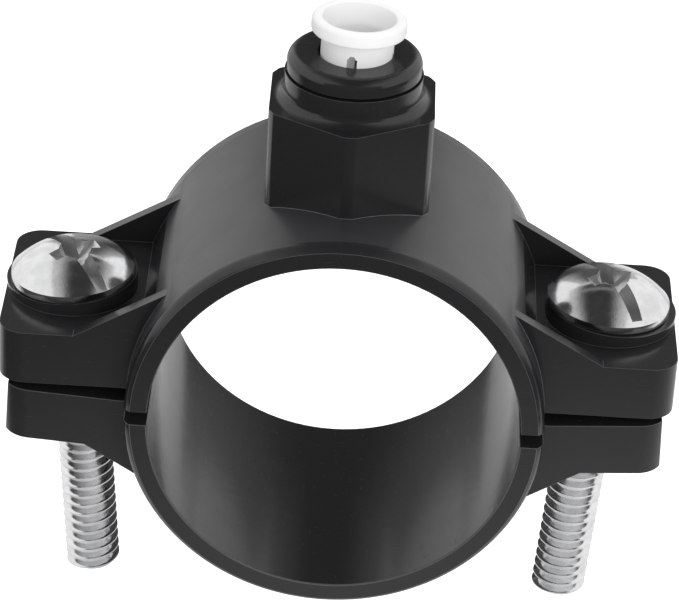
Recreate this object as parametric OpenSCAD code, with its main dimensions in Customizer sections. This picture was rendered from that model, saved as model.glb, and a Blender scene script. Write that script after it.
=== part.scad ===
// Drain pipe clamp: two moulded half rings that two screws draw together round a
// waste pipe, with a push-in tube fitting on the upper half.
// The bore runs along Y and the fitting points up, along +Z. The origin is on the
// bore's axis, at the middle of the ring's width. All sizes are in millimetres.

/* [Ring] */
// Diameter of the bore, which is the pipe's outer diameter
bore_d = 42; // [38:0.5:50]
// Width of the ring along the pipe
ring_w = 33.4; // [30:0.2:44]
// Thickness of the ring's wall
ring_wall = 2.7; // [2.4:0.1:4]
// Radius of the ring's front rim
rim_r = 1.7; // [0.8:0.1:1.8]
// Distance from the front at which the rim's rounding starts
rim_depth = 1.4; // [0.6:0.1:1.7]
// Chamfer of the bore at both ends
bore_chamfer = 0.1; // [0.1:0.05:0.8]
// Height of the upper half's end faces above the bore's axis
split_up = 1.0; // [0.6:0.1:1.6]
// Depth of the lower half's end faces below the bore's axis
split_down = 0.7; // [0.5:0.1:1.4]

/* [Ears] */
// Depth of the ears along the pipe
ear_depth = 23.6; // [20:0.2:28]
// Thickness of the upper ears
ear_up_t = 6.5; // [5:0.1:9]
// Thickness of the lower ears
ear_low_t = 6.4; // [6.2:0.1:9]
// Reach of the upper ears beyond the screws
ear_beyond = 8.05; // [7.9:0.05:12]
// How much shorter the lower ears are
ear_low_step = 0.85; // [0:0.05:1.5]
// How far the lower ears' ends slant outwards from top to bottom
ear_low_draft = 0.3; // [0:0.1:0.6]
// Radius of the ears' upright corners
ear_corner_r = 3; // [1:0.1:5]
// Angle at which the lower ears rise towards their ends
ear_low_rise = 3.7; // [0:0.1:4]
// Length of the flat root of a lower ear, where it leaves the ring
ear_low_root = 1; // [0.6:0.1:2]
// Thickness of the four ribs on the ears' edges, above and below
rib_t = 1.45; // [1:0.05:2.5]
// Distance of an upper rib's foot from the screw, towards the ring
rib_up_foot = 0.5; // [0:0.05:3]
// Angle at which an upper rib meets the ring
rib_up_angle = 35.1; // [28:0.1:42]
// Distance of a lower rib's foot from the screw, towards the ring
rib_low_foot = 1.95; // [0:0.05:3]
// Angle at which a lower rib meets the ring
rib_low_angle = 29.6; // [26:0.1:38]

/* [Screws] */
// Outer diameter of the screws' thread
screw_d = 6.35; // [5:0.05:6.5]
// Pitch of the screws' thread
thread_pitch = 1.27; // [1:0.01:1.6]
// Depth of the thread
thread_depth = 0.65; // [0.3:0.05:0.8]
// Length of a screw under its head
screw_len = 40.5; // [34:0.5:50]
// Distance from the ring's outside to a screw's axis, at the split
screw_off = 6.65; // [6.4:0.05:9]
// Angle by which the screws' tips lean towards each other
screw_toe = 4.4; // [0:0.1:4.6]
// Diameter of a screw's head
head_d = 14; // [12:0.1:14.6]
// Height of a head's edge
head_edge = 0.75; // [0.4:0.05:1.2]
// Rise of a head's dome above its edge
head_dome = 3.3; // [2.4:0.1:3.6]
// Width of the slot in a head, and of its cross arms
slot_w = 1.6; // [1.2:0.1:1.8]
// Depth of the slot below the dome's top
slot_depth = 2.1; // [1.4:0.1:2.4]
// Reach of the slot from the head's middle
slot_reach = 5.9; // [4.8:0.1:6.2]
// Reach of the short cross arms from the head's middle
cross_reach = 3.5; // [2.8:0.1:4]
// Turn of the slot from the X axis
slot_turn = -66; // [-90:1:90]
// Diameter of the round pads under the heads
pad_d = 15; // [14.8:0.1:15.8]
// Height of a head's seat above the bore's axis, along the screw
seat_h = 9; // [8.2:0.1:11]
// Width of a nut across its flats
nut_af = 11.1; // [10:0.1:11.4]
// Height of a nut
nut_h = 4.8; // [4:0.1:5]
// Plastic left between a nut and the split
nut_floor = 1.5; // [1.2:0.1:1.8]

/* [Port] */
// Width of the hexagon across its flats
hex_af = 18.4; // [17:0.1:22]
// Height of the hexagon's top above the ring's outside
hex_h = 10.1; // [8:0.1:14]
// Width of the turned-off hexagon corners
hex_corner = 1.5; // [0.6:0.1:2.5]
// Diameter of the collar on the hexagon
collar_d = 15.5; // [15.3:0.1:16.2]
// Height of the collar
collar_h = 3.1; // [2.5:0.1:6]
// Radius of the hollow round at the collar's foot
collar_fillet = 1.2; // [0.4:0.1:1.4]
// Outer diameter of the tube that the port takes
tube_d = 6.35; // [6:0.05:6.4]
// Diameter of the channel from the tube's stop into the pipe
channel_d = 5; // [3:0.1:5.4]
// Height of the tube's stop above the ring's outside
stop_h = 1.2; // [0.6:0.1:2]
// Depth of the socket between the stop and the seal
socket_h = 3.4; // [3:0.1:4]

/* [Cap and collet] */
// Diameter of the cap that retains the collet
cap_d = 15.1; // [14.2:0.1:15.5]
// Height of the cap's head
cap_h = 2.05; // [1.5:0.05:2.5]
// Rounding of the cap's upper edge
cap_round = 1.2; // [0.3:0.1:1.4]
// Height of the groove between the cap and the collar
cap_groove = 0.3; // [0.15:0.05:0.5]
// Diameter of the cap's stem inside the collar
stem_d = 12; // [11.6:0.1:12.4]
// Diameter of the collet's neck
neck_d = 8.1; // [7.8:0.1:8.4]
// Diameter of the collet's grip, at its lower end
grip_d = 9.6; // [9:0.1:10]
// Diameter of the collet's flange
flange_d = 10.95; // [10:0.05:12]
// Height of the collet's flange
flange_t = 1.95; // [1.4:0.05:2.6]
// Rounding of the flange's edges
flange_round = 0.5; // [0.2:0.1:0.6]
// Width of the flange's flat rim between its rounding and the funnel's mouth
flange_rim = 0.5; // [0.2:0.1:0.8]
// Depth of the funnel that leads a tube in
funnel_h = 2; // [1:0.1:2.4]
// Distance from the cap to the flange's underside
flange_gap = 2.6; // [2.1:0.05:4]
// Width of the slots between the collet's four legs
leg_slot_w = 1.15; // [0.6:0.05:1.4]
// Height of the slots' round tops above the cap
leg_slot_h = 1.3; // [0.6:0.1:1.8]
// Thickness of the steel teeth
tooth_t = 0.3; // [0.2:0.05:0.5]

/* [Seals] */
// Section of the tube seal
seal_section = 1.9; // [1.6:0.1:1.9]
// Thickness of the spacer over the seal
spacer_t = 0.9; // [0.6:0.1:1.2]
// Outer diameter of the port's gasket
gasket_d = 14; // [12:0.5:16]
// Inner diameter of the port's gasket
gasket_hole_d = 7; // [6:0.1:8]
// Thickness of the port's gasket
gasket_t = 1; // [0.6:0.1:1.4]

/* [Clearances] */
// Between a tube and the socket or collet, on the radius
tube_clear = 0.03; // [0.01:0.01:0.1]
// Between a screw and the holes in the upper ears, on the radius
hole_clear = 0.4; // [0.2:0.05:0.6]
// Between a screw and the holes in the lower ears, on the radius
low_hole_clear = 0.6; // [0.4:0.05:0.8]
// Between a screw and the nut, on the radius
nut_clear = 0.32; // [0.3:0.01:0.4]
// Between a nut and the sides of its pocket
pocket_clear = 0.15; // [0.05:0.05:0.3]
// Between a screw's head and its pad
seat_clear = 0.1; // [0.05:0.05:0.3]
// Between the collet and the cap, on the radius
collet_clear = 0.15; // [0.1:0.05:0.25]
// Between pieces that are pressed or laid together
lay_clear = 0.05; // [0.02:0.01:0.1]
// Between the teeth and their groove
tooth_clear = 0.02; // [0.01:0.01:0.05]

/* [Hidden] */
$fn = 96;

plastic = [0.11, 0.11, 0.12];
steel = [0.78, 0.79, 0.81];
zinc = [0.68, 0.68, 0.66];
acetal = [0.95, 0.95, 0.93];
rubber = [0.06, 0.06, 0.06];
foam = [0.15, 0.15, 0.16];

// Overlap that makes a cut or a joined shape run clean through a face
eps = 1;
bore_r = bore_d / 2;
ring_r = bore_r + ring_wall;
screw_x = ring_r + screw_off;
ear_up_top = split_up + ear_up_t;
rise_x = ring_r + ear_low_root;

// Heights in the port, from the ring's outside upwards
stop_z = ring_r + stop_h;
seal_floor_z = stop_z + socket_h;
spacer_z = seal_floor_z + seal_section + 2 * lay_clear;
stem_z = spacer_z + spacer_t + 2 * lay_clear;
hex_z = ring_r + hex_h;
collar_z = hex_z + collar_h;
cap_head_z = collar_z + cap_groove;
cap_z = cap_head_z + cap_h;
flange_z = cap_z + flange_gap;
collet_top_z = flange_z + flange_t;
// The collet's lower end stays clear of the spacer when it is pressed in
press_travel = 1.5;
press_clear = 0.5;
collet_bottom_z = stem_z + press_travel + press_clear;
grip_h = 1.2;
grip_cone_h = 1.9;
grip_lead = 0.35;
// Height of the teeth above the collet's lower end, and their depth inside its grip
tooth_up = 0.6;
tube_r = tube_d / 2 + tube_clear;
seal_mid_r = tube_r + seal_section / 2;
seal_chamber_r = seal_mid_r + seal_section / 2 + lay_clear;
stem_bore_r = grip_d / 2 + 2 * collet_clear;

// The ring's half section: the front rim is rounded outside, and the rear rim is sharp
module ring_section() {
    half = ring_w / 2;
    intersection() {
        translate([bore_r, -half])
            square([ring_wall, ring_w]);
        union() {
            translate([0, -half])
                square([ring_r, ring_w - rim_depth]);
            translate([0, -half])
                square([ring_r - rim_r, ring_w]);
            translate([ring_r - rim_r, half - rim_depth])
                circle(rim_r);
        }
    }
}

// The whole ring along Y, before it is split
module ring() {
    rotate([90, 0, 0])
        rotate_extrude()
            ring_section();
}

// The bore and its two chamfers, as the shape that is cut away
module bore_cut() {
    rotate([90, 0, 0]) {
        cylinder(r = bore_r, h = ring_w + 2 * eps, center = true);
        for (s = [0, 1])
            mirror([0, 0, s])
                translate([0, 0, ring_w / 2 - bore_chamfer])
                    cylinder(r1 = bore_r, r2 = bore_r + bore_chamfer + eps, h = bore_chamfer + eps);
    }
}

// One ear's outline in plan, with round corners at its end
module ear_outline(reach) {
    side = ear_depth / 2 - ear_corner_r;
    corner_x = reach - ear_corner_r;
    translate([0, -ear_depth / 2])
        square([corner_x, ear_depth]);
    translate([0, -side])
        square([reach, 2 * side]);
    for (s = [-1, 1])
        translate([corner_x, s * side])
            circle(ear_corner_r);
}

// Places its children on the right screw's axis, or on the left one as a mirror image
module on_screw(side) {
    mirror([side < 0 ? 1 : 0, 0, 0])
        translate([screw_x, 0, 0])
            rotate([0, screw_toe, 0])
                children();
}

// Draws its children on both sides
module both_sides() {
    for (s = [0, 1])
        mirror([s, 0, 0])
            children();
}

// Two ribs of one ear, along its front and rear edges. The foot lies on the ear's
// face, and the upper end on the ring.
module ribs(foot_x, face_z, angle) {
    up = face_z > 0 ? 1 : -1;
    top = ring_r * [cos(angle), up * sin(angle)];
    root = (ring_r - ring_wall / 2) * [cos(angle), up * sin(angle)];
    for (s = [0, 1])
        mirror([0, s, 0])
            translate([0, ear_depth / 2, 0])
                rotate([90, 0, 0])
                    linear_extrude(rib_t)
                        polygon([[foot_x, face_z], top, root, [root[0], face_z - up * eps],
                                 [foot_x, face_z - up * eps]]);
}

// A hexagon bar that stands with a corner to the front
module hexagon_bar(af, h) {
    rotate([0, 0, 30])
        cylinder(d = af / cos(30), h = h, $fn = 6);
}

// The port's hexagon, with its corners turned off
module hexagon() {
    turned_r = norm([hex_corner / 2, (hex_af / cos(30) - hex_corner * tan(30)) / 2]);
    intersection() {
        hexagon_bar(hex_af, hex_z);
        cylinder(r = turned_r, h = hex_z);
    }
}

// The collar, with a hollow round where it rises from the hexagon. The round stays
// inside the hexagon's flats.
module collar() {
    collar_r = collar_d / 2;
    foot_r = min(collar_fillet, hex_af / 2 - collar_r);
    cylinder(r = collar_r, h = collar_z);
    rotate_extrude()
        difference() {
            translate([0, hex_z - eps])
                square([collar_r + foot_r, eps + foot_r]);
            translate([collar_r + foot_r, hex_z + foot_r])
                circle(foot_r);
        }
}

// The round passages of the port, from the pipe to the top of the collar
module port_cut() {
    cylinder(d = channel_d, h = stop_z + eps);
    translate([0, 0, stop_z])
        cylinder(r = tube_r, h = seal_floor_z - stop_z + eps);
    translate([0, 0, seal_floor_z])
        cylinder(r = seal_chamber_r, h = stem_z - seal_floor_z + eps);
    translate([0, 0, stem_z])
        cylinder(r = stem_d / 2 + lay_clear, h = collar_z - stem_z + eps);
}

// Shallow seat for the gasket, in the crown of the bore
module gasket_seat(clear) {
    intersection() {
        cylinder(d = gasket_d - 2 * clear, h = ring_r);
        rotate([90, 0, 0])
            cylinder(r = bore_r + gasket_t - clear, h = gasket_d, center = true);
    }
}

module upper_saddle() {
    color(plastic)
        difference() {
            union() {
                intersection() {
                    ring();
                    translate([-ring_r - eps, -ring_w, split_up])
                        cube([2 * (ring_r + eps), 2 * ring_w, ring_r]);
                }
                both_sides() {
                    translate([0, 0, split_up])
                        linear_extrude(ear_up_t)
                            ear_outline(screw_x + ear_beyond);
                    ribs(screw_x - rib_up_foot, ear_up_top, rib_up_angle);
                    on_screw(1)
                        translate([0, 0, split_up + pad_d / 2 * sin(screw_toe) + eps])
                            cylinder(d = pad_d, h = seat_h - split_up - pad_d / 2 * sin(screw_toe) - eps);
                }
                hexagon();
                collar();
            }
            bore_cut();
            gasket_seat(0);
            port_cut();
            both_sides()
                on_screw(1)
                    cylinder(r = screw_d / 2 + hole_clear, h = 3 * seat_h, center = true);
        }
}

// Height of a lower ear's face at a distance from the middle: it is flat along the
// root and rises from there
function ear_low_top(x) = -split_down + max(0, x - rise_x) * tan(ear_low_rise);
function ear_low_bottom(x) = ear_low_top(x) - ear_low_t / cos(ear_low_rise);

// A lower ear, from its profile seen along the bore and its outline in plan
module lower_ear() {
    reach = screw_x + ear_beyond - ear_low_step;
    top_x = reach - ear_low_draft;
    intersection() {
        rotate([90, 0, 0])
            linear_extrude(ear_depth + 2 * eps, center = true)
                polygon([[0, ear_low_top(0)], [rise_x, ear_low_top(rise_x)], [top_x, ear_low_top(top_x)],
                         [reach, ear_low_bottom(reach)], [rise_x, ear_low_bottom(rise_x)],
                         [0, ear_low_bottom(0)]]);
        translate([0, 0, -2 * ear_low_t])
            linear_extrude(3 * ear_low_t)
                ear_outline(reach + ear_low_draft);
    }
}

module lower_saddle() {
    rib_low_x = screw_x - rib_low_foot;
    color(plastic)
        difference() {
            union() {
                intersection() {
                    ring();
                    translate([-ring_r - eps, -ring_w, -ring_r - split_down])
                        cube([2 * (ring_r + eps), 2 * ring_w, ring_r]);
                }
                both_sides() {
                    lower_ear();
                    ribs(rib_low_x, ear_low_bottom(rib_low_x), rib_low_angle);
                }
            }
            bore_cut();
            both_sides()
                on_screw(1) {
                    cylinder(r = screw_d / 2 + low_hole_clear, h = 4 * ear_low_t, center = true);
                    translate([0, 0, -split_down - nut_floor - 2 * ear_low_t])
                        hexagon_bar(nut_af + 2 * pocket_clear, 2 * ear_low_t);
                }
        }
}

// A truss head with a slot and two short cross arms, which all end short of its rim
module screw_head() {
    dome_r = (pow(head_d / 2, 2) + head_dome * head_dome) / (2 * head_dome);
    top = head_edge + head_dome;
    difference() {
        intersection() {
            cylinder(d = head_d, h = top + eps);
            // The sphere lies on its side, so that its poles stay out of the head
            translate([0, 0, top - dome_r])
                rotate([90, 0, 0])
                    sphere(dome_r);
        }
        translate([-slot_reach, -slot_w / 2, top - slot_depth])
            cube([2 * slot_reach, slot_w, slot_depth + eps]);
        translate([-slot_w / 2, -cross_reach, top - slot_depth])
            cube([slot_w, 2 * cross_reach, slot_depth + eps]);
    }
}

// Half section of the threaded shank: a blunt tip, the thread as equal rings at its
// pitch, and a plain neck that ends inside the head
module shank_section() {
    crest_r = screw_d / 2;
    root_r = crest_r - thread_depth;
    crest_h = thread_pitch / 8;
    first_z = thread_pitch - screw_len;
    rings = floor(-first_z / thread_pitch);
    neck_z = seat_clear + head_edge / 2;
    polygon(concat(
        [[0, -screw_len], [root_r, -screw_len], [crest_r, first_z]],
        [for (i = [0:rings - 1])
            let (z = first_z + i * thread_pitch)
                each [[crest_r, z + crest_h], [root_r, z + (thread_pitch + crest_h) / 2],
                      [crest_r, z + thread_pitch]]],
        [[crest_r, neck_z], [0, neck_z]]));
}

// A screw with its seat at the origin and its tip down
module screw() {
    translate([0, 0, seat_clear])
        rotate([0, 0, slot_turn])
            screw_head();
    rotate_extrude()
        shank_section();
}

module screw_left() {
    color(steel)
        on_screw(-1)
            translate([0, 0, seat_h])
                mirror([1, 0, 0])
                    screw();
}

module screw_right() {
    color(steel)
        on_screw(1)
            translate([0, 0, seat_h])
                screw();
}

// A hexagon nut with its corners chamfered top and bottom
module nut() {
    corner_d = nut_af / cos(30);
    chamfer_h = (corner_d - nut_af) / 2 * tan(30);
    translate([0, 0, -split_down - nut_floor - nut_h])
        difference() {
            intersection() {
                hexagon_bar(nut_af, nut_h);
                union() {
                    cylinder(d1 = nut_af, d2 = corner_d, h = chamfer_h);
                    translate([0, 0, chamfer_h])
                        cylinder(d = corner_d, h = nut_h - 2 * chamfer_h);
                    translate([0, 0, nut_h - chamfer_h])
                        cylinder(d1 = corner_d, d2 = nut_af, h = chamfer_h);
                }
            }
            translate([0, 0, -eps])
                cylinder(r = screw_d / 2 + nut_clear, h = nut_h + 2 * eps);
        }
}

module nut_left() {
    color(zinc)
        on_screw(-1)
            nut();
}

module nut_right() {
    color(zinc)
        on_screw(1)
            nut();
}

// Half section of the cap's head, with a round upper edge
module cap_head_section() {
    intersection() {
        square([cap_d / 2, cap_h]);
        union() {
            square([cap_d / 2, cap_h - cap_round]);
            square([cap_d / 2 - cap_round, cap_h]);
            translate([cap_d / 2 - cap_round, cap_h - cap_round])
                circle(cap_round);
        }
    }
}

// The cap's stem is pressed into the collar, and its cone squeezes the collet's grip
module retaining_cap() {
    neck_bore_r = neck_d / 2 + collet_clear;
    cone_top_z = collet_bottom_z + grip_h + grip_cone_h + collet_clear;
    color(plastic)
        difference() {
            union() {
                translate([0, 0, stem_z])
                    cylinder(d = stem_d, h = cap_head_z - stem_z + lay_clear);
                translate([0, 0, cap_head_z])
                    rotate_extrude()
                        cap_head_section();
            }
            cylinder(r = neck_bore_r, h = cap_z + eps);
            translate([0, 0, cone_top_z - grip_cone_h])
                cylinder(r1 = stem_bore_r, r2 = neck_bore_r, h = grip_cone_h);
            translate([0, 0, stem_z - eps])
                cylinder(r = stem_bore_r, h = cone_top_z - grip_cone_h - stem_z + eps);
        }
}

// Half section of the collet: a funnel in a flange with round edges, the neck, and the
// wider grip
module collet_section() {
    round_x = flange_d / 2 - flange_round;
    grip_r = grip_d / 2;
    grip_top_z = collet_bottom_z + grip_h;
    for (z = [flange_z, collet_top_z - 2 * flange_round])
        translate([round_x, z + flange_round])
            circle(flange_round);
    translate([round_x, flange_z + flange_round])
        square([flange_round, flange_t - 2 * flange_round]);
    polygon([[tube_r, collet_bottom_z], [grip_r - grip_lead, collet_bottom_z],
             [grip_r, collet_bottom_z + grip_lead], [grip_r, grip_top_z],
             [neck_d / 2, grip_top_z + grip_cone_h], [neck_d / 2, flange_z],
             [round_x, flange_z], [round_x, collet_top_z], [round_x - flange_rim, collet_top_z],
             [tube_r, collet_top_z - funnel_h]]);
}

// Four slots from below, each with a round top, part the legs
module leg_slots() {
    slot_top_z = cap_z + leg_slot_h - leg_slot_w / 2;
    for (a = [0, 90])
        rotate([0, 0, a]) {
            translate([-leg_slot_w / 2, -flange_d, collet_bottom_z - eps])
                cube([leg_slot_w, 2 * flange_d, slot_top_z - collet_bottom_z + eps]);
            translate([0, 0, slot_top_z])
                rotate([90, 0, 0])
                    cylinder(d = leg_slot_w, h = 2 * flange_d, center = true);
        }
}

// The groove in the legs that holds the teeth, or a ring of teeth when it is drawn tighter
module tooth_ring(clear) {
    rise = 0.5;
    tooth_z = collet_bottom_z + tooth_up;
    outer_r = grip_d / 2 - tooth_up;
    translate([0, 0, tooth_z + clear])
        rotate_extrude()
            polygon([[tube_r + clear, 0], [outer_r - clear, rise], [outer_r - clear, rise + tooth_t - 2 * clear],
                     [tube_r + clear, tooth_t - 2 * clear]]);
}

module collet() {
    color(acetal)
        difference() {
            rotate_extrude()
                collet_section();
            leg_slots();
            tooth_ring(0);
        }
}

// The steel tooth plate of one leg, the leg_no-th from the front right one, anticlockwise
module tooth(leg_no) {
    color(steel)
        intersection() {
            difference() {
                tooth_ring(tooth_clear);
                leg_slots();
            }
            rotate([0, 0, 90 * (leg_no - 1)])
                cube([grip_d, grip_d, collet_top_z]);
        }
}

module tooth_front_right() {
    tooth(0);
}

module tooth_rear_right() {
    tooth(1);
}

module tooth_rear_left() {
    tooth(2);
}

module tooth_front_left() {
    tooth(3);
}

module seal_spacer() {
    color(acetal)
        translate([0, 0, spacer_z])
            difference() {
                cylinder(r = seal_chamber_r - lay_clear, h = spacer_t);
                translate([0, 0, -eps])
                    cylinder(r = tube_r + 2 * collet_clear, h = spacer_t + 2 * eps);
            }
}

module tube_seal() {
    color(rubber)
        translate([0, 0, seal_floor_z + seal_section / 2 + lay_clear])
            rotate_extrude()
                translate([seal_mid_r, 0])
                    circle(seal_section / 2, $fn = 48);
}

module port_gasket() {
    color(foam)
        difference() {
            gasket_seat(lay_clear);
            rotate([90, 0, 0])
                cylinder(r = bore_r, h = ring_w, center = true);
            cylinder(d = gasket_hole_d, h = ring_r + eps);
        }
}

upper_saddle();
lower_saddle();
screw_left();
screw_right();
nut_left();
nut_right();
retaining_cap();
collet();
tooth_front_right();
tooth_rear_right();
tooth_rear_left();
tooth_front_left();
seal_spacer();
tube_seal();
port_gasket();
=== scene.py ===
"""A drain pipe clamp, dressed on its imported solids, with its camera and studio light.

Pieces are shaped in millimetres, in the solids' own frame: the origin is on the bore's
axis, +Y runs along the bore and +Z up through the tube fitting. Each piece is scaled to
metres when it is finished.
"""

from __future__ import annotations

import logging
import math
from dataclasses import dataclass
from enum import Enum
from typing import Callable, Sequence

import bpy
from mathutils import Matrix, Vector

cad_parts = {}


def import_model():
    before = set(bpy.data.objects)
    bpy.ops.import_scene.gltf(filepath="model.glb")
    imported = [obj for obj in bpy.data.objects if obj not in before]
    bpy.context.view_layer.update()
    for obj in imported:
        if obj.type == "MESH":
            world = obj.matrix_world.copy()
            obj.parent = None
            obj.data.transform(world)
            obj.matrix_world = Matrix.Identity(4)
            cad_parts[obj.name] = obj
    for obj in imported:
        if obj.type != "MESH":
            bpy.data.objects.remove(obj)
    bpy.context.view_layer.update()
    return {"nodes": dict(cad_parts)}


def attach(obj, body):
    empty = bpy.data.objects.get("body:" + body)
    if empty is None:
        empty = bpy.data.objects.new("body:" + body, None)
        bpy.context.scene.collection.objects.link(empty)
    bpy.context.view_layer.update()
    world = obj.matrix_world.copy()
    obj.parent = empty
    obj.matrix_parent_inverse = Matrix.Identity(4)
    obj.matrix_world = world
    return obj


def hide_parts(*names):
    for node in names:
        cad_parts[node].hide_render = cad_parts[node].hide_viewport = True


LOG = logging.getLogger("clamp")
MM = 0.001
Colour = tuple[float, float, float]
Point = tuple[float, float]


class Body(str, Enum):
    """The rigid bodies that a piece can ride on."""

    TOP = "clamp_top"
    BOTTOM = "clamp_bottom"
    LEFT_SCREW = "screw_left"
    RIGHT_SCREW = "screw_right"
    COLLET = "release_collet"


class Slot(str, Enum):
    """The names of the record's material slots, which the script passes along with each new piece."""

    PLASTIC = "moulded_plastic"
    PLATED = "plated_steel"
    ACETAL = "white_acetal"


class Side(Enum):
    """Which side of the bore a piece is on, as the sign of its X."""

    LEFT = -1
    RIGHT = 1


class Socket:
    """A shader value or colour, with Python's operators for its Math nodes."""

    def __init__(self, graph: "Graph", output: bpy.types.NodeSocket) -> None:
        """Wraps one output socket of a graph."""
        self.graph = graph
        self.output = output

    def _math(self, operation: str, *values: object) -> "Socket":
        """Adds a Math node on values or sockets.

        Args:
            operation: The Math node's operation.
            values: Its inputs, in order.

        Returns:
            The node's result.
        """
        return self.graph.node("ShaderNodeMath", {"operation": operation}, dict(enumerate(values)))

    def __add__(self, other: object) -> "Socket":
        """self + other."""
        return self._math("ADD", self, other)

    __radd__ = __add__

    def __sub__(self, other: object) -> "Socket":
        """self - other."""
        return self._math("SUBTRACT", self, other)

    def __rsub__(self, other: object) -> "Socket":
        """other - self."""
        return self._math("SUBTRACT", other, self)

    def __mul__(self, other: object) -> "Socket":
        """self * other."""
        return self._math("MULTIPLY", self, other)

    __rmul__ = __mul__

    def __truediv__(self, other: object) -> "Socket":
        """self / other."""
        return self._math("DIVIDE", self, other)

    def __pow__(self, other: object) -> "Socket":
        """self to the power other."""
        return self._math("POWER", self, other)

    def __abs__(self) -> "Socket":
        """The absolute value."""
        return self._math("ABSOLUTE", self)

    def above(self, edge: float, soft: float) -> "Socket":
        """A mask that rises from 0 to 1 round an edge.

        Args:
            edge: The value at which the mask is one half.
            soft: Half of the width of the rise.

        Returns:
            The mask.
        """
        settings = {"interpolation_type": "SMOOTHSTEP", "clamp": True}
        inputs = {"Value": self, "From Min": edge - soft, "From Max": edge + soft}
        return self.graph.node("ShaderNodeMapRange", settings, inputs)

    def below(self, edge: float, soft: float) -> "Socket":
        """The mask that falls from 1 to 0 round an edge."""
        return 1 - self.above(edge, soft)


class Graph:
    """The node tree of a material or of the world.

    Attributes:
        COLOURS: The places of the two colours among a Mix node's inputs.
        MIXED: The place of the mixed colour among its outputs.
    """

    COLOURS = (6, 7)
    MIXED = 2

    def __init__(self, tree: bpy.types.NodeTree) -> None:
        """Empties a node tree and takes it over."""
        self.tree = tree
        tree.nodes.clear()

    def node(
        self,
        kind: str,
        settings: dict[str, object] | None = None,
        inputs: dict[object, object] | None = None,
        output: object = 0,
    ) -> Socket | None:
        """Adds a node.

        Args:
            kind: The node's type.
            settings: Its own properties, set first.
            inputs: Values or sockets for its inputs, by name or index.
            output: The name or index of the output that is handed back.

        Returns:
            The chosen output, or None for a node that has no outputs.
        """
        made = self.tree.nodes.new(kind)
        for key, value in (settings or {}).items():
            setattr(made, key, value)
        for key, value in (inputs or {}).items():
            if isinstance(value, Socket):
                self.tree.links.new(value.output, made.inputs[key])
            else:
                made.inputs[key].default_value = value
        return Socket(self, made.outputs[output]) if len(made.outputs) else None

    def place_mm(self) -> Socket:
        """The place on the object, in millimetres."""
        coords = self.node("ShaderNodeTexCoord", output="Object")
        return self.node("ShaderNodeVectorMath", {"operation": "SCALE"}, {0: coords, "Scale": 1 / MM})

    def stretched(self, place: Socket, scale: tuple[float, float, float]) -> Socket:
        """A place whose axes are scaled, for a pattern that runs one way."""
        return self.node("ShaderNodeMapping", None, {"Vector": place, "Scale": scale})

    def axes(self, place: Socket) -> tuple[Socket, Socket, Socket]:
        """The X, Y and Z of a place."""
        parts = self.node("ShaderNodeSeparateXYZ", None, {0: place})
        names = parts.output.node.outputs
        return Socket(self, names["X"]), Socket(self, names["Y"]), Socket(self, names["Z"])

    def noise(self, place: Socket, scale: float, detail: float = 3.0, rough: float = 0.5) -> Socket:
        """A noise from 0 to 1 at a number of waves for each millimetre."""
        return self.node(
            "ShaderNodeTexNoise", {"noise_dimensions": "3D"},
            {"Vector": place, "Scale": scale, "Detail": detail, "Roughness": rough}, "Fac",
        )

    def mix_colours(self, mask: Socket, low: Colour, high: Colour) -> Socket:
        """A colour that goes from low to high with a mask."""
        inputs = {"Factor": mask, self.COLOURS[0]: (*low, 1.0), self.COLOURS[1]: (*high, 1.0)}
        return self.node("ShaderNodeMix", {"data_type": "RGBA"}, inputs, self.MIXED)

    def bump(self, height: Socket, depth_mm: float) -> Socket:
        """A normal that follows a height, of which 1 stands out by a depth."""
        inputs = {"Height": height, "Strength": 1.0, "Distance": depth_mm * MM}
        return self.node("ShaderNodeBump", None, inputs, "Normal")

    def light_path(self) -> tuple[Socket, Socket, Socket]:
        """Whether a ray comes from the camera, a glossy surface or a clear one, each 0 or 1."""
        camera = self.node("ShaderNodeLightPath", output="Is Camera Ray")
        names = camera.output.node.outputs
        return camera, Socket(self, names["Is Glossy Ray"]), Socket(self, names["Is Transmission Ray"])


@dataclass(frozen=True)
class Finish:
    """A finish that becomes one material."""

    name: str
    colour: Colour
    roughness: float

    def material(self) -> bpy.types.Material:
        """The finish's material, made when it is first asked for."""
        known = bpy.data.materials.get(self.name)
        if known is not None:
            return known
        made = bpy.data.materials.new(self.name)
        made.use_nodes = True
        made.diffuse_color = (*self.colour, 1.0)
        graph = Graph(made.node_tree)
        inputs = {**self.surface(graph), **self.constants()}
        shader = graph.node("ShaderNodeBsdfPrincipled", None, inputs)
        graph.node("ShaderNodeOutputMaterial", None, {"Surface": shader})
        return made

    def shade(self, level: float) -> Colour:
        """The finish's colour at a share of its brightness."""
        return tuple(level * c for c in self.colour)

    def surface(self, graph: Graph) -> dict[str, Socket]:
        """What changes over the surface, by the name of the shader's input."""
        return {}

    def constants(self) -> dict[str, object]:
        """What is the same all over, by the name of the shader's input."""
        return {}


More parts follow.
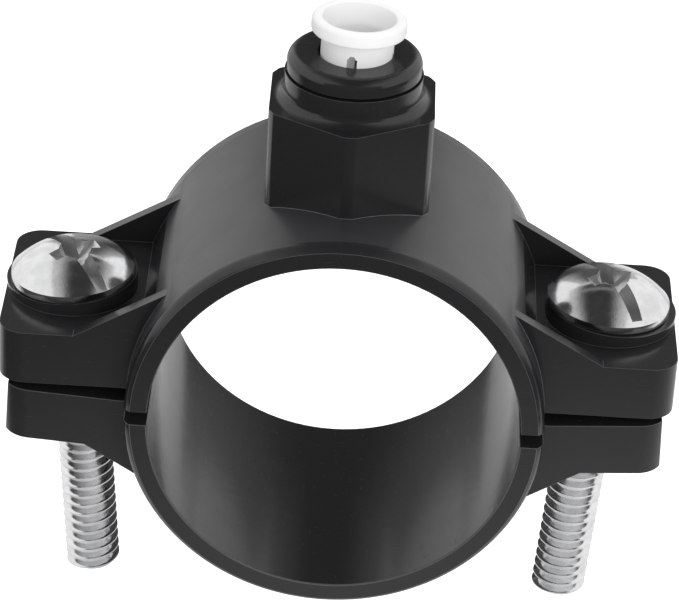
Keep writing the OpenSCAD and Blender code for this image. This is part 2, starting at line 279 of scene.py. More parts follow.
@dataclass(frozen=True)
class MouldedPlastic(Finish):
    """Black injection-moulded plastic: glossy, with a duller turned face on the ring.

    Attributes:
        satin_from: Distance from the bore's axis at which the satin of the ring begins.
        satin_to: Distance from the bore's axis at which it ends.
        satin_half: Half width of the satin band along the bore.
        satin_roughness: Roughness of the satin band.
        satin_and_sheen_level: Brightness of the satin band's colour, as a share of the glossy one:
            lighter partly for its duller texture and partly as painted sheen.
        pocket_x: Distance from the middle beyond which the pockets at the screws are glossy.
        pocket_half: Half width of the pockets along the bore, which is up to the ribs.
        relief_mm: Depth of the grain, the ripple and the scratches together.
    """

    satin_from: float = 23.55
    satin_to: float = 23.76
    satin_half: float = 15.3
    satin_roughness: float = 0.34
    satin_and_sheen_level: float = 2.2
    pocket_x: float = 20.9
    pocket_half: float = 10.4
    relief_mm: float = 0.012

    def surface(self, graph: Graph) -> dict[str, Socket]:
        """Flow marks, fine grain, hairline scratches and the satin outside of the ring."""
        place = graph.place_mm()
        satin = self._satin(graph, place)
        cloud = graph.noise(place, scale=0.22, detail=4.0, rough=0.6)
        grain = graph.noise(place, scale=7.0, rough=0.6)
        ripple = graph.noise(place, scale=0.9, detail=2.0)
        scratch = self._scratches(graph, place)
        rough = self.roughness + (cloud - 0.5) * 0.12 + (grain - 0.5) * 0.05 + scratch * 0.12
        height = grain * (0.15 + 0.5 * satin) + ripple * 0.6 + scratch * 0.5
        return {
            # The satin band's lighter colour is partly its duller texture and partly painted sheen.
            "Base Color": graph.mix_colours(satin, self.colour, self.shade(self.satin_and_sheen_level)),
            "Roughness": rough + satin * (self.satin_roughness - self.roughness),
            "Normal": graph.bump(height, self.relief_mm),
        }

    def _satin(self, graph: Graph, place: Socket) -> Socket:
        """The mask of the satin band, which leaves out the pockets between the ribs."""
        x, y, z = graph.axes(place)
        radius = (x * x + z * z) ** 0.5
        on_ring = radius.above(self.satin_from, soft=0.03) * radius.below(self.satin_to, soft=0.03)
        in_pocket = abs(x).above(self.pocket_x, soft=0.1) * abs(y).below(self.pocket_half, soft=0.1)
        return on_ring * abs(y).below(self.satin_half, soft=0.2) * (1 - in_pocket)

    def _scratches(self, graph: Graph, place: Socket) -> Socket:
        """Sparse hairlines in two directions."""
        across = graph.noise(graph.stretched(place, (0.25, 4.0, 3.0)), scale=1.6, detail=2.0)
        along = graph.noise(graph.stretched(place, (3.5, 0.3, 2.5)), scale=1.9, detail=2.0)
        return across.above(0.72, soft=0.02) + along.above(0.74, soft=0.02)

    def constants(self) -> dict[str, object]:
        """Plain dielectric gloss."""
        return {"IOR": 1.5}


@dataclass(frozen=True)
class PlatedSteel(Finish):
    """Bright plated steel, softly pitted and lightly scratched.

    Attributes:
        grain: Waves of the pits for each millimetre.
        pit_mm: Depth of the pits.
        dull_level: Brightness of the duller clouds, as a share of the colour.
    """

    grain: float = 2.0
    pit_mm: float = 0.01
    dull_level: float = 0.82

    def surface(self, graph: Graph) -> dict[str, Socket]:
        """Cloudy gloss, fine scratches and shallow pits."""
        place = graph.place_mm()
        cloud = graph.noise(place, scale=0.5, detail=4.0, rough=0.6)
        fine = graph.noise(place, scale=self.grain, detail=4.0, rough=0.6)
        lines = graph.noise(graph.stretched(place, (6.0, 0.7, 2.0)), scale=1.4)
        clear = cloud.above(0.5, soft=0.25)
        return {
            "Base Color": graph.mix_colours(clear, self.shade(self.dull_level), self.colour),
            "Roughness": self.roughness + (cloud - 0.5) * 0.14 + lines.above(0.66, soft=0.04) * 0.08,
            "Normal": graph.bump(fine * 0.7 + lines * 0.3, self.pit_mm),
        }

    def constants(self) -> dict[str, object]:
        """All metal."""
        return {"Metallic": 1.0}


@dataclass(frozen=True)
class Acetal(Finish):
    """White acetal, slightly translucent and faintly mottled.

    Attributes:
        mottle_level: Brightness of the mottle, as a share of the colour.
        relief_mm: Depth of the moulded grain.
        clear_share: Share of the light that enters.
        spread_mm: How far such light spreads.
    """

    mottle_level: float = 0.93
    relief_mm: float = 0.006
    clear_share: float = 0.5
    spread_mm: float = 2.5

    def surface(self, graph: Graph) -> dict[str, Socket]:
        """A faint mottle and a fine moulded grain."""
        place = graph.place_mm()
        cloud = graph.noise(place, scale=0.6)
        grain = graph.noise(place, scale=9.0)
        clear = cloud.above(0.5, soft=0.3)
        return {
            "Base Color": graph.mix_colours(clear, self.shade(self.mottle_level), self.colour),
            "Roughness": self.roughness + (cloud - 0.5) * 0.1,
            "Normal": graph.bump(grain, self.relief_mm),
        }

    def constants(self) -> dict[str, object]:
        """Light that enters spreads a little further in red than in blue."""
        return {
            "Subsurface Weight": self.clear_share,
            "Subsurface Radius": (1.0, 0.97, 0.92),
            "Subsurface Scale": self.spread_mm * MM,
        }


@dataclass(frozen=True)
class Elastomer(Finish):
    """Rubber or foam with open grain.

    Attributes:
        grain: Waves of the grain for each millimetre.
        depth_mm: Depth of the grain.
        low_level: Brightness in the depth of the grain, as a share of the colour.
    """

    grain: float = 3.0
    depth_mm: float = 0.03
    low_level: float = 0.6

    def surface(self, graph: Graph) -> dict[str, Socket]:
        """Grain in colour, gloss and height."""
        place = graph.place_mm()
        grain = graph.noise(place, scale=self.grain, detail=4.0, rough=0.65)
        high = grain.above(0.5, soft=0.2)
        return {
            "Base Color": graph.mix_colours(high, self.shade(self.low_level), self.colour),
            "Roughness": self.roughness + (grain - 0.5) * 0.2,
            "Normal": graph.bump(grain, self.depth_mm),
        }


PLASTIC = MouldedPlastic("black_moulding", (0.015, 0.015, 0.016), roughness=0.18)
# Painted highlight: a lighter grey for the bevels on the mouldings' sharp edges, so that they show as
# thin bright lines.
EDGE = MouldedPlastic("black_edge_painted_highlight", (0.075, 0.075, 0.078), roughness=0.36)
PLATED = PlatedSteel("bright_plate", (0.83, 0.835, 0.84), roughness=0.14)
FORGED = PlatedSteel("forged_recess", (0.8, 0.8, 0.8), roughness=0.42, grain=3.0, pit_mm=0.03)
ZINC = PlatedSteel("rolled_zinc", (0.68, 0.68, 0.66), roughness=0.26, grain=3.0, pit_mm=0.014)
TOOTH_STEEL = PlatedSteel("tooth_strip", (0.7, 0.7, 0.7), roughness=0.3, grain=4.0, pit_mm=0.006)
WHITE = Acetal("white_collet", (0.84, 0.84, 0.82), roughness=0.36)
SEAL = Elastomer("seal_rubber_black", (0.018, 0.018, 0.019), roughness=0.42, grain=6.0, depth_mm=0.01)
FOAM = Elastomer("gasket_foam_black", (0.03, 0.03, 0.033), roughness=0.8, grain=3.0, depth_mm=0.06)


def deselect_all() -> None:
    """Leaves edit mode and selects nothing."""
    active = bpy.context.view_layer.objects.active
    if active is not None and active.mode != "OBJECT":
        bpy.ops.object.mode_set(mode="OBJECT")
    bpy.ops.object.select_all(action="DESELECT")


class Workpiece:
    """A mesh in millimetres that is shaped with Blender's own operators.

    Attributes:
        TOUCH: Vertices nearer than this are taken as one, in millimetres.
    """

    TOUCH = 1e-4

    def __init__(self, name: str, obj: bpy.types.Object) -> None:
        """Takes over an object under a name."""
        self.obj = obj
        obj.name = name
        obj.data.name = name

    @classmethod
    def turned(cls, name: str, profile: Sequence[Point], sides: int = 128) -> "Workpiece":
        """A solid of revolution round Z, drawn up ring by ring.

        Args:
            name: The piece's name.
            profile: Pairs of radius and height. A radius of 0 closes an end, and a
                profile whose ends meet becomes a closed ring.
            sides: The number of sides.

        Returns:
            The piece.
        """
        deselect_all()
        radius, height = profile[0]
        start = radius or profile[1][0]
        bpy.ops.mesh.primitive_circle_add(vertices=sides, radius=start, location=(0, 0, height))
        piece = cls(name, bpy.context.object)
        bpy.ops.object.mode_set(mode="EDIT")
        bpy.ops.mesh.select_all(action="SELECT")
        first_is_pole = radius == 0
        last = start
        for radius, next_height in profile[1:]:
            rise = (0, 0, next_height - height)
            bpy.ops.mesh.extrude_edges_move(TRANSFORM_OT_translate={"value": rise})
            height = next_height
            if radius == 0:
                bpy.ops.mesh.merge(type="CENTER")
                break
            grow = radius / last
            bpy.ops.transform.resize(value=(grow, grow, 1), center_override=(0, 0, height))
            last = radius
        bpy.ops.object.mode_set(mode="OBJECT")
        bpy.ops.object.transform_apply(location=True)
        if first_is_pole:
            piece.pick_vertices(lambda p: abs(p.z - profile[0][1]) < cls.TOUCH)
            piece.in_edit(bpy.ops.mesh.merge, type="CENTER")
        piece.merge()
        return piece

    @classmethod
    def polyline(cls, name: str, points: Sequence[Vector]) -> "Workpiece":
        """A chain of edges, drawn out from one vertex."""
        deselect_all()
        bpy.ops.mesh.primitive_plane_add(size=1, location=(0, 0, 0))
        piece = cls(name, bpy.context.object)
        bpy.ops.object.mode_set(mode="EDIT")
        bpy.ops.mesh.select_all(action="SELECT")
        bpy.ops.mesh.merge(type="CENTER")
        bpy.ops.transform.translate(value=points[0])
        for start, end in zip(points, points[1:]):
            bpy.ops.mesh.extrude_vertices_move(TRANSFORM_OT_translate={"value": end - start})
        bpy.ops.object.mode_set(mode="OBJECT")
        return piece

    @classmethod
    def block(cls, name: str, low: Vector, high: Vector) -> "Workpiece":
        """A box between two corners."""
        deselect_all()
        bpy.ops.mesh.primitive_cube_add(size=1, location=(low + high) / 2, scale=high - low)
        piece = cls(name, bpy.context.object)
        bpy.ops.object.transform_apply(location=True, rotation=True, scale=True)
        return piece

    @classmethod
    def copy_of(cls, name: str, node: bpy.types.Object) -> "Workpiece":
        """A merged copy of a node's solid, in millimetres and not yet painted."""
        deselect_all()
        obj = bpy.data.objects.new(name, node.data.copy())
        bpy.context.scene.collection.objects.link(obj)
        piece = cls(name, obj)
        obj.data.materials.clear()
        obj.scale = (1 / MM,) * 3
        piece.activate()
        bpy.ops.object.transform_apply(scale=True)
        bpy.ops.mesh.customdata_custom_splitnormals_clear()
        piece.merge()
        return piece

    def activate(self) -> None:
        """Selects this piece alone, and makes it active."""
        deselect_all()
        self.obj.select_set(True)
        bpy.context.view_layer.objects.active = self.obj

    def in_edit(self, operator: Callable, **settings: object) -> None:
        """Runs one operator in edit mode on what is picked."""
        self.activate()
        bpy.ops.object.mode_set(mode="EDIT")
        operator(**settings)
        bpy.ops.object.mode_set(mode="OBJECT")

    def _clear_picks(self, mode: str) -> None:
        """Unpicks all of the mesh and sets what is picked next."""
        self.activate()
        bpy.ops.object.mode_set(mode="EDIT")
        bpy.ops.mesh.select_mode(type=mode)
        bpy.ops.mesh.select_all(action="DESELECT")
        bpy.ops.object.mode_set(mode="OBJECT")

    def pick_vertices(self, test: Callable[[Vector], bool]) -> None:
        """Picks the vertices whose place passes a test."""
        self._clear_picks("VERT")
        for vertex in self.obj.data.vertices:
            vertex.select = test(vertex.co)

    def pick_sharp(self, degrees: float) -> None:
        """Picks the edges whose two faces meet at more than an angle."""
        self._clear_picks("EDGE")
        self.in_edit(bpy.ops.mesh.edges_select_sharp, sharpness=math.radians(degrees))

    def pick_all(self) -> None:
        """Picks every face."""
        self._clear_picks("FACE")
        self.in_edit(bpy.ops.mesh.select_all, action="SELECT")

    def merge(self, distance: float = TOUCH) -> None:
        """Merges vertices nearer than a distance, and turns the faces outwards."""
        self.activate()
        bpy.ops.object.mode_set(mode="EDIT")
        bpy.ops.mesh.select_all(action="SELECT")
        bpy.ops.mesh.remove_doubles(threshold=distance)
        bpy.ops.mesh.normals_make_consistent(inside=False)
        bpy.ops.object.mode_set(mode="OBJECT")

    def modify(self, kind: str, **settings: object) -> None:
        """Adds a modifier with its settings, and applies it."""
        self.activate()
        bpy.ops.object.modifier_add(type=kind)
        modifier = self.obj.modifiers[-1]
        for key, value in settings.items():
            setattr(modifier, key, value)
        bpy.ops.object.modifier_apply(modifier=modifier.name)

    def combine(self, tool: "Workpiece", operation: str) -> None:
        """Joins, cuts or trims this piece with another, which is used up.

        Args:
            tool: The other piece.
            operation: UNION, DIFFERENCE or INTERSECT.
        """
        self.modify(
            "BOOLEAN", operation=operation, object=tool.obj, solver="EXACT", material_mode="TRANSFER",
        )
        bpy.data.objects.remove(tool.obj)

    def cut_at(self, point: Vector, normal: Vector) -> None:
        """Cuts off what lies beyond a plane, and closes the cut."""
        self.activate()
        bpy.ops.object.mode_set(mode="EDIT")
        bpy.ops.mesh.select_all(action="SELECT")
        bpy.ops.mesh.bisect(plane_co=point, plane_no=normal, use_fill=True, clear_outer=True)
        bpy.ops.object.mode_set(mode="OBJECT")

    def turn(self, axis: str, degrees: float) -> None:
        """Turns the piece round an axis through the origin."""
        self.activate()
        self.obj.rotation_euler = tuple(math.radians(degrees) * (name == axis) for name in "XYZ")
        bpy.ops.object.transform_apply(rotation=True)

    def shift(self, by: Vector) -> None:
        """Moves the piece."""
        self.activate()
        bpy.ops.transform.translate(value=by)
        bpy.ops.object.transform_apply(location=True)

    def paint(self, *finishes: Finish) -> None:
        """Gives the whole piece the first finish; any other is for faces made later."""
        self.obj.data.materials.clear()
        for finish in finishes:
            self.obj.data.materials.append(finish.material())

    def finish(
        self, body: Body, slot: Slot, node: str, smooth: float = 30.0, flat_faces: bool = False,
    ) -> None:
        """Scales the piece to metres, shades it and puts it on its body.

        Args:
            body: The body that it rides on.
            slot: The record's slot for its finish. It is not used.
            node: The solid that it stands for.
            smooth: Edges flatter than this angle are shaded smooth.
            flat_faces: Whether large faces are shaded flat up to their softened edges.
        """
        self.activate()
        self.obj.scale = (MM,) * 3
        bpy.ops.object.transform_apply(location=True, rotation=True, scale=True)
        bpy.ops.object.shade_smooth_by_angle(angle=math.radians(smooth))
        if flat_faces:
            self.modify("WEIGHTED_NORMAL", mode="FACE_AREA", weight=80, keep_sharp=True)
        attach(self.obj, body.value)
        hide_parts(node)
        LOG.info("%s: %d faces on %s", self.obj.name, len(self.obj.data.polygons), body.value)


def arc(centre: Point, radius: float, start: float, end: float, steps: int) -> list[Point]:
    """Points along an arc of a profile.

    Args:
        centre: The arc's middle, as radius and height.
        radius: The arc's own radius.
        start: The angle at its start, in degrees from the outward direction.
        end: The angle at its end.
        steps: The number of pieces.

    Returns:
        The points, both ends included.
    """
    angles = [math.radians(start + (end - start) * i / steps) for i in range(steps + 1)]
    return [(centre[0] + radius * math.cos(a), centre[1] + radius * math.sin(a)) for a in angles]


@dataclass
class Saddles:
    """The two moulded halves, made from their solids with softened edges.

    Attributes:
        edge: Width of the softening on each side of an edge.
        segments: Faces across a softened edge.
        sharp_degrees: Edges sharper than this are softened.
        flat_degrees: Faces that turn by less than this are made one.
        smooth_degrees: Edges flatter than this are shaded smooth.
    """

    edge: float = 0.2
    segments: int = 2
    sharp_degrees: float = 28.0
    flat_degrees: float = 0.6
    smooth_degrees: float = 40.0

    def build(self, nodes: dict[str, bpy.types.Object]) -> None:
        """Makes both halves."""
        upper = self._softened("upper_moulding", nodes["upper_saddle"])
        upper.finish(Body.TOP, Slot.PLASTIC, "upper_saddle", self.smooth_degrees, flat_faces=True)
        lower = self._softened("lower_moulding", nodes["lower_saddle"])
        lower.finish(Body.BOTTOM, Slot.PLASTIC, "lower_saddle", self.smooth_degrees, flat_faces=True)

    def _softened(self, name: str, node: bpy.types.Object) -> Workpiece:
        """A copy of a solid with softened sharp edges, whose bevels take a lighter finish as a painted
        highlight.
        """
        piece = Workpiece.copy_of(name, node)
        piece.paint(PLASTIC, EDGE)
        piece.pick_all()
        piece.in_edit(bpy.ops.mesh.dissolve_limited, angle_limit=math.radians(self.flat_degrees))
        piece.pick_sharp(self.sharp_degrees)
        # The bevel faces take the second finish, the painted edge highlight.
        piece.in_edit(
            bpy.ops.mesh.bevel, offset=self.edge, segments=self.segments, affect="EDGES",
            clamp_overlap=True, material=1,
        )
        return piece


@dataclass
class Screw:
    """A truss head screw with a rolled thread, a slot and a cross recess.

    Attributes:
        side: The side of the bore that it is on.
        axis_x: Distance of its axis from the middle, at the bore's height.
        axis_y: Place of its axis along the bore.
        lean: How far it leans outward at the top, in degrees.
        slot_turn: The direction of its slot, in degrees from X.
        recess_x: How far the recess is punched off the axis, along X.
        recess_y: How far it is punched off the axis, along Y.
        seat: Height of the head's underside, along the screw.
        length: Length under the head.
        crest_radius: Radius of the thread's crests.
        root_radius: Radius of its roots.
        pitch: Its pitch.
        flank_degrees: Slope of its flanks.
        thread_start: How far it reaches into the head.
        tip_share: Radius of the tip, as a share of the crests'.
        taper_share: Length of the tapered tip, as a share of the crests' radius.
        head_radius: Radius of the head.
        under_radius: Radius of the head's underside that the thread covers.
        head_edge: Height of the head's rim, up to the dome.
        rim_round: Round at the rim's lower edge.
        dome_rise: Height of the dome.
        slot_reach: Length of the slot, from the middle.
        slot_width: Its width near the surface.
        slot_depth: Depth of its floor in the middle, under the crown.
        slot_end_depth: Its depth at the ends.
        cross_reach: Length of the cross arms, from the middle.
        cross_width: Their width near the surface.
        cross_depth: Depth of their floor in the middle.
        cross_end_depth: Its depth at the ends.
        pit_depth: Depth of the pit in the middle.
        pit_shoulder: Depth at which the pit widens.
        pit_radii: The pit's radius at its floor, at its shoulder and over the crown.
        draft: Slope of the arms' walls.
        draft_depth: Depth at which an arm has its given width.
        over: How far the cutters reach past the surface.
        steps: Steps of the thread in one turn.
    """

    side: Side
    axis_x: float
    axis_y: float
    lean: float
    slot_turn: float
    recess_x: float
    recess_y: float
    seat: float = 9.04
    length: float = 40.55
    crest_radius: float = 3.17
    root_radius: float = 2.5
    pitch: float = 1.27
    flank_degrees: float = 30.0
    thread_start: float = 0.3
    tip_share: float = 0.76
    taper_share: float = 0.4
    head_radius: float = 7.2
    under_radius: float = 3.0
    head_edge: float = 0.8
    rim_round: float = 0.25
    dome_rise: float = 2.95
    slot_reach: float = 6.35
    slot_width: float = 1.75
    slot_depth: float = 1.5
    slot_end_depth: float = 2.9
    cross_reach: float = 4.5
    cross_width: float = 1.75
    cross_depth: float = 2.6
    cross_end_depth: float = 1.85
    pit_depth: float = 2.9
    pit_shoulder: float = 0.9
    pit_radii: tuple[float, float, float] = (0.8, 1.7, 2.1)
    draft: float = 0.12
    draft_depth: float = 0.6
    over: float = 1.0
    steps: int = 56

    @property
    def tip(self) -> float:
        """Height of the tip, along the screw."""
        return self.seat - self.length

    @property
    def crown(self) -> float:
        """Height of the dome's top."""
        return self.seat + self.head_edge + self.dome_rise

    def build(self) -> None:
        """Makes the screw on Z, then leans it in place."""
        name = "screw_left" if self.side is Side.LEFT else "screw_right"
        body = Body.LEFT_SCREW if self.side is Side.LEFT else Body.RIGHT_SCREW
        screw = self._head(f"{name}_threaded")
        screw.paint(PLATED)
        recess = self._recess_cutter()
        recess.shift(Vector((self.recess_x, self.recess_y, 0)))
        recess.paint(FORGED)
        screw.combine(recess, "DIFFERENCE")
        thread = self._thread()
        thread.paint(PLATED)
        screw.combine(thread, "UNION")
        screw.turn("Y", self.side.value * self.lean)
        screw.shift(Vector((self.side.value * self.axis_x, self.axis_y, 0)))
        screw.finish(body, Slot.PLATED, name)

    def _head(self, name: str) -> Workpiece:
        """The turned head, with a rounded rim and a shallow dome."""
        dome = (self.head_radius**2 + self.dome_rise**2) / (2 * self.dome_rise)
        middle = self.crown - dome
        low = math.degrees(math.asin((self.seat + self.head_edge - middle) / dome))
        rim = self.head_radius - self.rim_round
        profile = [(0.0, self.seat), (self.under_radius, self.seat), (rim, self.seat)]
        profile += arc((rim, self.seat + self.rim_round), self.rim_round, -60, 0, 3)
        profile += arc((0, middle), dome, low + 1.0, 90, 26)[:-1]
        profile.append((0.0, self.crown))
        return Workpiece.turned(name, profile, 144)

    def _recess_cutter(self) -> Workpiece:
        """The slot, the short cross arms and the pit in the middle, as one cutter."""
        floor, shoulder, mouth = self.pit_radii
        pit = Workpiece.turned("cutter", [
            (0.0, self.crown - self.pit_depth), (floor, self.crown - self.pit_depth),
            (shoulder, self.crown - self.pit_shoulder), (mouth, self.crown + self.over),
            (0.0, self.crown + self.over),
        ], 32)
        for degrees in (0, 180):
            arm = self._arm(self.slot_reach, self.slot_width, self.slot_depth, self.slot_end_depth)
            arm.turn("Z", degrees)
            pit.combine(arm, "UNION")
        for degrees in (90, 270):
            arm = self._arm(self.cross_reach, self.cross_width, self.cross_depth, self.cross_end_depth)
            arm.turn("Z", degrees)
            pit.combine(arm, "UNION")
        pit.turn("Z", self.slot_turn)
        pit.merge()
        return pit

    def _arm(self, reach: float, width: float, near: float, far: float) -> Workpiece:
        """One arm of the recess along X, whose floor and walls slope.

        Args:
            reach: How far the arm goes from the middle.
            width: Its width near the surface.
            near: Depth of its floor in the middle, under the crown.
            far: Depth of its floor at the arm's end.

        Returns:
            The arm.
        """
        half = width / 2
        overlap = 0.3
        low = self.crown - max(near, far) - self.over / 2
        high = self.crown + self.over
        arm = Workpiece.block("arm", Vector((-overlap, -half, low)), Vector((reach, half, high)))
        arm.cut_at(Vector((0, 0, self.crown - near)), Vector((near - far, 0, -reach)))
        for side in Side:
            wall = Vector((0, side.value * half, self.crown - self.draft_depth))
            arm.cut_at(wall, Vector((0, side.value, -self.draft)))
        arm.merge()
        return arm

    def _thread(self) -> Workpiece:
        """The rolled thread, which starts in the head and tapers at the tip."""
        flank = (self.crest_radius - self.root_radius) * math.tan(math.radians(self.flank_degrees))
        crest = self.pitch / 8
        root = self.pitch - crest - 2 * flank
        rise = root / 2
        heights = [0, rise, rise + flank, rise + flank + crest, rise + 2 * flank + crest, self.pitch]
        radii = [self.root_radius] * 2 + [self.crest_radius] * 2 + [self.root_radius] * 2
        start = self.tip - self.pitch
        points = [Vector((r, 0, start + h)) for r, h in zip(radii, heights)]
        thread = Workpiece.polyline("thread", points)
        spare_turns = 2.5
        near = 1e-3
        thread.modify(
            "SCREW", axis="Z", angle=math.tau, screw_offset=self.pitch,
            iterations=math.ceil(self.length / self.pitch + spare_turns),
            steps=self.steps, render_steps=self.steps,
            use_merge_vertices=True, merge_threshold=near, use_smooth_shade=False,
        )
        thread.merge(near)
        thread.cut_at(Vector((0, 0, self.seat + self.thread_start)), Vector((0, 0, 1)))
        thread.cut_at(Vector((0, 0, self.tip)), Vector((0, 0, -1)))
        thread.combine(self._envelope(), "INTERSECT")
        return thread

    def _envelope(self) -> Workpiece:
        """What the thread is trimmed to: a cylinder round it, with a tapered tip."""
        below = self.tip - 0.1
        tapered = self.tip + self.crest_radius * self.taper_share
        wide = self.crest_radius + 0.5
        high = self.seat + self.over
        return Workpiece.turned("envelope", [
            (0.0, below), (self.tip_share * self.crest_radius, below), (self.crest_radius, tapered),
            (wide, tapered + 0.7), (wide, high), (0.0, high),
        ])


@dataclass
class Collet:
    """The white release collet: a funnel in a flange, and four legs with a grip below.

    Attributes:
        bore: Radius of the bore.
        neck: Outer radius under the flange.
        grip: Outer radius of the legs' thick ends.
        flange: Outer radius of the flange.
        bottom: Height of the legs' ends.
        grip_top: Height at which the grip narrows.
        cone_top: Height at which it has the neck's radius.
        flange_low: Height of the flange's underside.
        top: Height of the flange's crest.
        slot_width: Width of the gaps between the legs.
        slot_top: Height of their round tops.
        corner: Chamfer at the legs' ends, and round under the flange.
        low_round: Round at the flange's lower edge.
        edge_round: Round at its upper edge.
        mouth_round: Round from its crest into the funnel.
        funnel: Pairs of the funnel's excess radius and depth, down to the bore.
        lean: Its lean about Y in the cap's play, in degrees.
        lean_back: Its lean about X.
        spin: Its turn about its axis.
        aside: Its shift along X.
        pivot: Height that it leans about.
    """

    bore: float = 3.205
    neck: float = 4.05
    grip: float = 4.8
    flange: float = 5.32
    bottom: float = 33.2
    grip_top: float = 34.5
    cone_top: float = 36.4
    flange_low: float = 41.75
    top: float = 43.55
    slot_width: float = 1.15
    slot_top: float = 40.55
    corner: float = 0.35
    low_round: float = 0.4
    edge_round: float = 0.55
    mouth_round: float = 0.42
    funnel: tuple[Point, ...] = ((0.55, 1.5), (0.12, 2.1), (0.0, 2.6))
    lean: float = 1.5
    lean_back: float = 2.6
    spin: float = -7.5
    aside: float = 0.2
    pivot: float = 40.3

    def build(self) -> None:
        """Turns the collet, slots its legs, and leans it in the cap's play.

        The cuts leave it one empty material slot, which renders as plain white.
        """
        collet = Workpiece.turned("collet_turned", self._profile(), 160)
        for degrees in (0, 90):
            collet.combine(self._slot(degrees), "DIFFERENCE")
        collet.turn("Z", self.spin)
        collet.shift(Vector((0, 0, -self.pivot)))
        collet.turn("X", -self.lean_back)
        collet.turn("Y", self.lean)
        collet.shift(Vector((self.aside, 0, self.pivot)))
        collet.finish(Body.COLLET, Slot.ACETAL, "collet")

    def _profile(self) -> list[Point]:
        """The section, from the bore's lower end round the outside and back."""
        under = (self.neck + self.corner, self.flange_low - self.corner)
        low = (self.flange - self.low_round, self.flange_low + self.low_round)
        upper = (self.flange - self.edge_round, self.top - self.edge_round)
        mouth = (upper[0] - self.mouth_round + 0.1, self.top - self.mouth_round)
        profile = [(self.bore, self.bottom), (self.grip - self.corner, self.bottom)]
        profile += [(self.grip, self.bottom + self.corner), (self.grip, self.grip_top)]
        profile.append((self.neck, self.cone_top))
        profile += arc(under, self.corner, 180, 90, 4)
        profile += arc(low, self.low_round, -90, 0, 5)
        profile += arc(upper, self.edge_round, 0, 90, 7)
        profile += arc(mouth, self.mouth_round, 90, 155, 5)
        profile += [(self.bore + wider, self.top - depth) for wider, depth in self.funnel]
        profile.append((self.bore, self.bottom))
        return profile

    def _slot(self, degrees: float) -> Workpiece:
        """The cutter for two gaps that face each other, with a round top."""
        half = self.slot_width / 2
        reach = 2 * self.flange
        slot = Workpiece.turned("gap", [(0.0, -reach), (half, -reach), (half, reach), (0.0, reach)], 32)
        slot.turn("X", 90)
        slot.shift(Vector((0, 0, self.slot_top - half)))
        low = Vector((-half, -reach, self.bottom - 1))
        high = Vector((half, reach, self.slot_top - half))
        slot.combine(Workpiece.block("gap_low", low, high), "UNION")
        slot.turn("Z", degrees)
        return slot


class SolidParts:
    """The nuts and the fitting's small parts, which are shown as their own solids."""

    FINISHES = {
        "nut_left": ZINC,
        "nut_right": ZINC,
        "retaining_cap": PLASTIC,
        "tooth_front_right": TOOTH_STEEL,
        "tooth_rear_right": TOOTH_STEEL,
        "tooth_rear_left": TOOTH_STEEL,
        "tooth_front_left": TOOTH_STEEL,
        "seal_spacer": WHITE,
        "tube_seal": SEAL,
        "port_gasket": FOAM,
    }

    def build(self, nodes: dict[str, bpy.types.Object]) -> None:
        """Gives each solid its finish."""
        for name, finish in self.FINISHES.items():
            node = nodes[name]
            node.data.materials.clear()
            node.data.materials.append(finish.material())
            LOG.info("%s: its own solid", name)


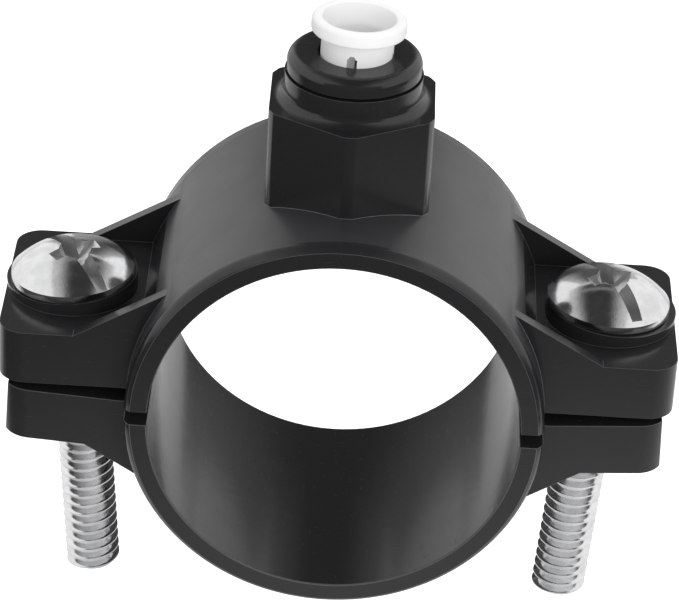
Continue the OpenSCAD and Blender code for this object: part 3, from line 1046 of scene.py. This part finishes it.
@dataclass
class Studio:
    """The camera, the floor and the light.

    Attributes:
        focal_px: The camera's focal length, in the photo's pixels.
        frame_px: The photo's width, in pixels.
        place: The camera's place, in millimetres.
        azimuth: Its turn about Z, in degrees.
        elevation: Its height over the level, in degrees.
        roll: Its turn about its own axis, in degrees.
        sensor: Width of its sensor, in millimetres.
        clip: The nearest and farthest that it sees, in metres.
        floor_z: Height of the floor, in millimetres.
        floor_size: Its side, in metres.
        floor_glow: How much it glows to the camera.
        floor_glow_clear: How much it glows through transparent pieces.
        table: Half sizes of the part of it that reflections show white, in millimetres.
        table_middle: Its middle.
        table_soft: Softness of its edge, as a share of its size.
        table_colour: Its colour.
        beyond_colour: The colour that reflections show beyond it.
        room_light: How strongly the room lights the clamp.
        room_more: How much more of it the camera, reflections and transparent pieces show.
    """

    focal_px: float = 3500.0
    frame_px: float = 679.0
    place: tuple[float, float, float] = (0.452, -347.001, 212.507)
    azimuth: float = 0.104
    elevation: float = 30.619
    roll: float = -3.3
    sensor: float = 36.0
    clip: Point = (0.01, 20.0)
    floor_z: float = -45.0
    floor_size: float = 6.0
    floor_glow: float = 0.6
    floor_glow_clear: float = 0.3
    table: Point = (122.0, 130.0)
    table_middle: Point = (32.0, 45.0)
    table_soft: float = 0.35
    table_colour: Colour = (0.8, 0.8, 0.8)
    beyond_colour: Colour = (0.05, 0.05, 0.05)
    room_light: float = 0.75
    room_more: float = 0.25

    def build(self) -> None:
        """Makes the camera, the floor, the lamps and the world."""
        self._camera()
        self._floor()
        self._world()
        self._lamps()
        self._cards()
        bpy.context.scene.view_settings.view_transform = "Standard"

    def _camera(self) -> None:
        """The camera, at the viewing angle of the picture."""
        data = bpy.data.cameras.new("camera")
        data.sensor_width = self.sensor
        data.lens = data.sensor_width * self.focal_px / self.frame_px
        data.clip_start, data.clip_end = self.clip
        camera = bpy.data.objects.new("camera", data)
        bpy.context.scene.collection.objects.link(camera)
        turn = Matrix.Rotation(math.radians(self.azimuth), 3, "Z")
        tilt = Matrix.Rotation(math.radians(90 - self.elevation), 3, "X")
        roll = Matrix.Rotation(math.radians(-self.roll), 3, "Z")
        camera.rotation_euler = (turn @ tilt @ roll).to_euler()
        camera.location = Vector(self.place) * MM
        bpy.context.scene.camera = camera

    def _floor(self) -> None:
        """A white floor that keeps a soft shadow. Reflections show it white near the clamp
        only, as on a small white table."""
        deselect_all()
        bpy.ops.mesh.primitive_plane_add(size=self.floor_size, location=(0, 0, self.floor_z * MM))
        bpy.ops.object.transform_apply(location=True)
        floor = bpy.context.object
        floor.name = "floor"
        made = bpy.data.materials.new("floor_white")
        made.use_nodes = True
        graph = Graph(made.node_tree)
        camera, glossy, clear = graph.light_path()
        x, y = graph.axes(graph.place_mm())[:2]
        across = (x - self.table_middle[0]) / self.table[0]
        along = (y - self.table_middle[1]) / self.table[1]
        front = along.below(0, 0.5)
        off = ((across ** 2 + along ** 2) ** 0.5) * front
        beyond = glossy * off.above(1.0, self.table_soft)
        table = graph.node("ShaderNodeBsdfDiffuse", None, {"Color": (*self.table_colour, 1.0)})
        dark = graph.node("ShaderNodeBsdfDiffuse", None, {"Color": (*self.beyond_colour, 1.0)})
        seen = graph.node("ShaderNodeMixShader", None, {0: beyond, 1: table, 2: dark})
        glow_strength = self.floor_glow * camera + self.floor_glow_clear * clear
        glow = graph.node("ShaderNodeEmission", None, {"Strength": glow_strength})
        both = graph.node("ShaderNodeAddShader", None, {0: seen, 1: glow})
        graph.node("ShaderNodeOutputMaterial", None, {"Surface": both})
        floor.data.materials.append(made)

    def _world(self) -> None:
        """A white room, which lights the clamp more softly than it shows."""
        world = bpy.data.worlds.new("room")
        bpy.context.scene.world = world
        world.use_nodes = True
        graph = Graph(world.node_tree)
        camera, glossy, clear = graph.light_path()
        more = self.room_more
        strength = self.room_light + more * camera + more * glossy + more * clear
        room = graph.node("ShaderNodeBackground", None, {"Color": (1, 1, 1, 1), "Strength": strength})
        graph.node("ShaderNodeOutputWorld", None, {"Surface": room})

    def _lamps(self) -> None:
        """Soft light from above and behind, and a fill; glossy surfaces don't show the lamps."""
        self._area("key", Vector((-0.12, 0.38, 0.75)), 0.45, 2.4)
        self._area("fill", Vector((0.22, -0.6, 0.3)), 0.4, 2.2)

    def _area(self, name: str, place: Vector, size: float, power: float) -> None:
        """Adds a square area lamp that faces the clamp.

        Args:
            name: The lamp's name.
            place: Its place, in metres.
            size: Its side, in metres.
            power: Its power, in watts.
        """
        data = bpy.data.lights.new(name, "AREA")
        data.shape = "SQUARE"
        data.size = size
        data.energy = power
        lamp = bpy.data.objects.new(name, data)
        bpy.context.scene.collection.objects.link(lamp)
        lamp.location = place
        lamp.rotation_euler = (-place).to_track_quat("-Z", "Y").to_euler()
        lamp.visible_glossy = False

    def _cards(self) -> None:
        """Cards before, above and behind the clamp, which only reflections show."""
        self._card("card_front", Vector((0, -0.7, 0.2)), Vector((1.6, 0.6, 1)), 90, (0.1, 0.1))
        self._card("card_above", Vector((0, -0.1, 0.33)), Vector((0.42, 0.74, 1)), 0, (0.04, 0.6))
        self._card("card_strip", Vector((0, 0.17, 0.32)), Vector((0.24, 0.035, 1)), 0, (0.25, 0.25))
        self._card("card_rear", Vector((0, 0.36, 0.21)), Vector((0.29, 0.38, 1)), 90, (0.1, 0.4))
        self._card("card_bore", Vector((0, 0.08, 0.0)), Vector((0.08, 0.06, 1)), 90, (0.05, 0.35))

    def _card(self, name: str, middle: Vector, size: Vector, tilt: float, glow: Point) -> None:
        """Adds a card that only reflections show.

        Args:
            name: The card's name.
            middle: Its middle, in metres.
            size: Its width and height, in metres.
            tilt: Its turn about X, in degrees, where 90 stands it across the bore's axis.
            glow: Its strength in the middle and at its sides, where 1 is white.
        """
        deselect_all()
        bpy.ops.mesh.primitive_plane_add(size=1)
        card = bpy.context.object
        card.name = name
        card.scale = size
        card.rotation_euler = (math.radians(tilt), 0, 0)
        card.location = middle
        bpy.ops.object.transform_apply(location=True, rotation=True, scale=True)
        made = bpy.data.materials.new(name)
        made.use_nodes = True
        graph = Graph(made.node_tree)
        across = graph.axes(graph.place_mm())[0]
        side = abs(across).above(0.3 * size.x / MM, 0.15 * size.x / MM)
        strength = glow[0] + side * (glow[1] - glow[0])
        shade = graph.node("ShaderNodeEmission", None, {"Strength": strength})
        graph.node("ShaderNodeOutputMaterial", None, {"Surface": shade})
        card.data.materials.append(made)
        card.visible_camera = False
        card.visible_diffuse = False
        card.visible_shadow = False


def main() -> None:
    """Loads the solids, dresses them and lights them."""
    logging.basicConfig(level=logging.INFO, format="%(message)s")
    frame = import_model()
    nodes = frame["nodes"]
    Studio().build()
    Saddles().build(nodes)
    Screw(
        Side.LEFT, axis_x=30.2, axis_y=-0.4, lean=4.1, slot_turn=-57, recess_x=0.45, recess_y=-0.5,
    ).build()
    Screw(
        Side.RIGHT, axis_x=29.98, axis_y=0.0, lean=3.7, slot_turn=-63, recess_x=0.15, recess_y=-0.15,
    ).build()
    Collet().build()
    SolidParts().build(nodes)


if __name__ == "__main__":
    main()
